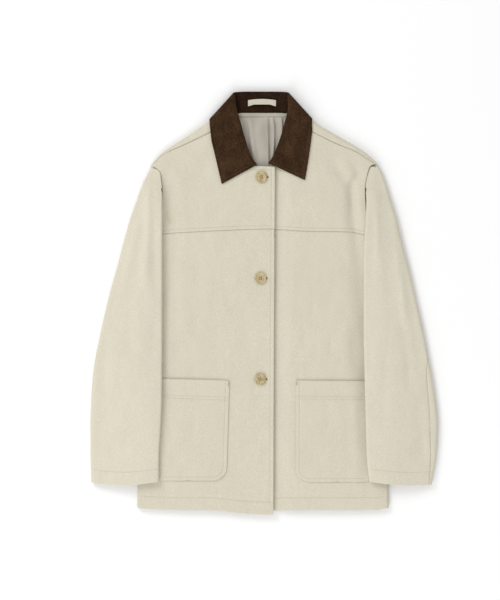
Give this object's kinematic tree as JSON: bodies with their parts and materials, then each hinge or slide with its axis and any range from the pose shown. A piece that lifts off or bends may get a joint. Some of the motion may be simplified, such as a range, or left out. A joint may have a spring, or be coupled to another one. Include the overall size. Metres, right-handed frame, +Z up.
{
  "type": "chore jacket",
  "caption": "Hip-length cotton chore jacket laid flat and buttoned, with front yokes, patch pockets, two-piece sleeves and a dark fine-nap collar.",
  "frame": {"origin": "centre of the bounding box's underside, on the surface that the jacket lies on", "axes": "+Y towards the collar, +Z up from the surface, +X to the viewer's right, which is the wearer's left"},
  "size_m": [0.6088, 0.7409, 0.022],
  "materials": {
    "canvas": "cream cotton twill, matt",
    "collar_cloth": "dark brown cotton with a short nap",
    "lining_cloth": "plain woven lining with a slight sheen",
    "loop_cloth": "light cotton tape",
    "horn": "mottled pale horn, softly polished"
  },
  "bodies": {
    "root": {"back": "canvas", "yoke_right": "canvas", "yoke_left": "canvas", "front_right": "canvas", "front_left": "canvas", "sleeve_top_right": "canvas", "sleeve_under_right": "canvas", "sleeve_top_left": "canvas", "sleeve_under_left": "canvas", "pocket_right": "canvas", "pocket_left": "canvas", "collar_leaf": "collar_cloth", "collar_stand": "collar_cloth", "back_lining": "lining_cloth", "neck_tape": "lining_cloth", "hanger_loop": "loop_cloth", "button_1": "horn", "button_2": "horn", "button_3": "horn"}
  },
  "joints": []
}
